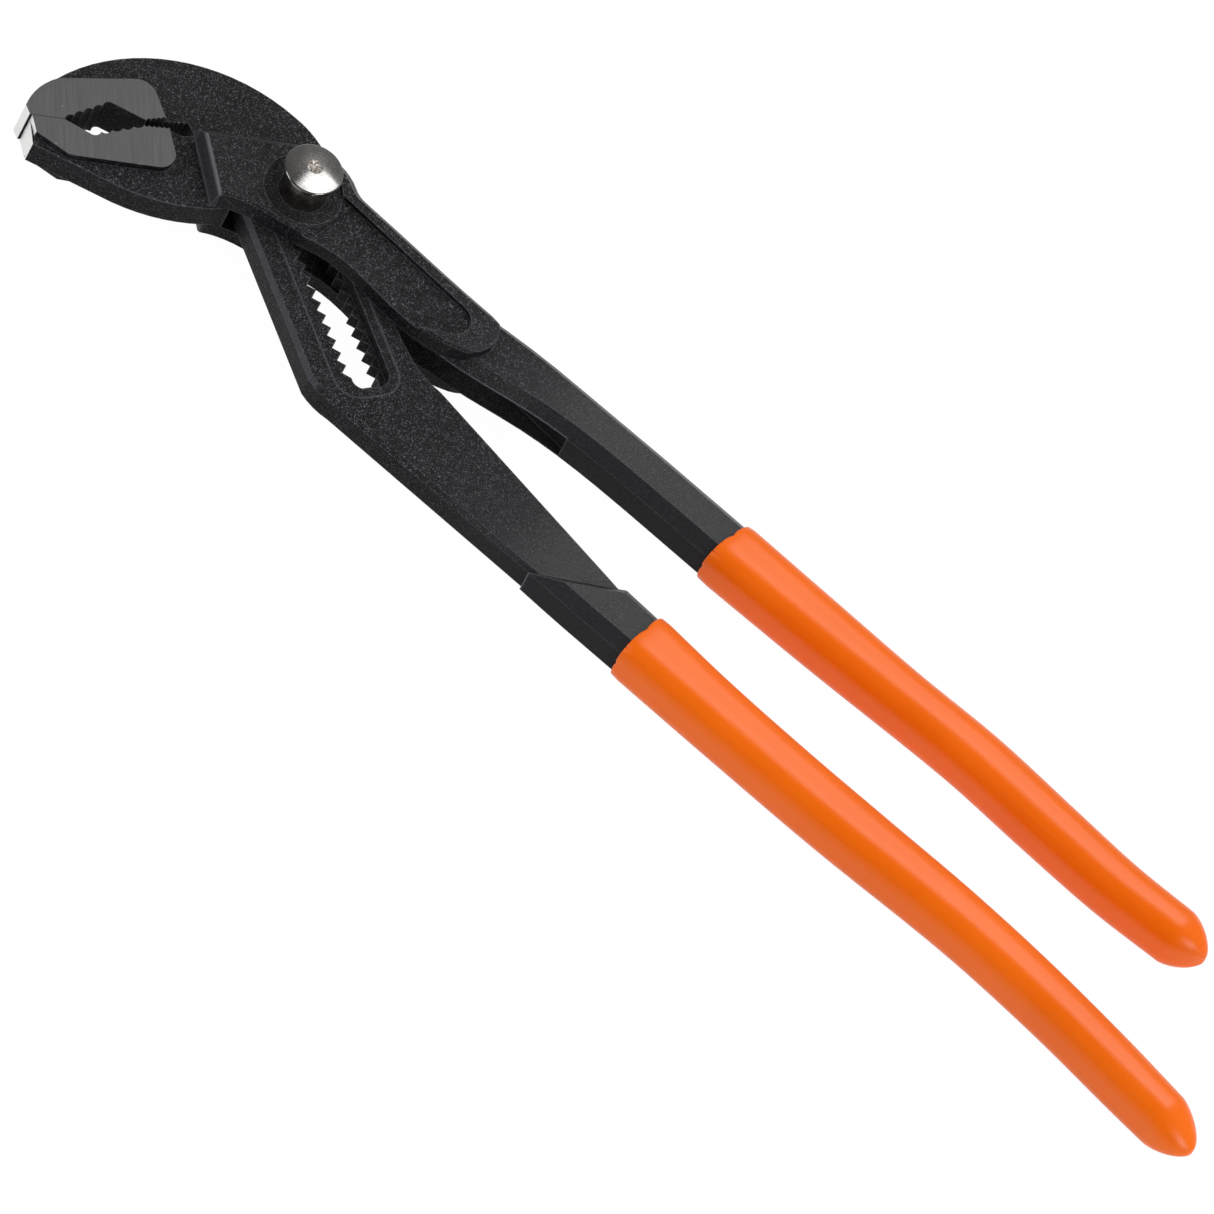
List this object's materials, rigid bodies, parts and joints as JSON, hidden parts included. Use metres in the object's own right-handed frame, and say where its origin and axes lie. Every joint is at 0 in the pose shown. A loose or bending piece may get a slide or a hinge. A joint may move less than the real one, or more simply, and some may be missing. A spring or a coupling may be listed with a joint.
{
  "type": "tongue and groove pliers",
  "caption": "Tongue and groove pliers with a push-button box joint, a toothed adjusting slot, serrated pipe jaws and dipped plastic grips.",
  "frame": {"origin": "on the joint axis, in the rear face of the box, on which the pliers lie", "axes": "+X from the joint towards the handles, +Z along the joint axis towards the push button"},
  "size_m": [0.3025, 0.0612, 0.0225],
  "materials": {
    "forged_steel": "black, sandblasted forging with ground jaw faces",
    "grip_plastic": "satin dipped vinyl",
    "polished_steel": "polished, nickel plated",
    "bolt_steel": "turned and ground",
    "spring_steel": "bright"
  },
  "bodies": {
    "outer_lever_body": {"outer_lever": "forged_steel", "outer_grip": "grip_plastic", "rear_cap": "bolt_steel"},
    "turning_seat": {"spring_seat": "spring_steel", "return_spring": "spring_steel"},
    "inner_lever_body": {"inner_lever": "forged_steel", "inner_grip": "grip_plastic"},
    "button": {"push_bolt": "bolt_steel", "button_cap": "polished_steel"}
  },
  "joints": [
    {"name": "jaw_pivot", "type": "hinge", "parent": "outer_lever_body", "child": "turning_seat", "pos_m": [0, 0, 0], "axis": [0, 0, -1], "range_deg": [0, 35]},
    {"name": "slot_adjust", "type": "slide", "parent": "turning_seat", "child": "inner_lever_body", "axis": [-0.8339, 0.5519, 0], "range_m": [0, 0.0348]},
    {"name": "button_press", "type": "slide", "parent": "turning_seat", "child": "button", "axis": [0, 0, -1], "range_m": [0, 0.0033], "stiffness_N_per_m": 600, "springref_m": -0.004, "deforming": ["return_spring"]}
  ]
}
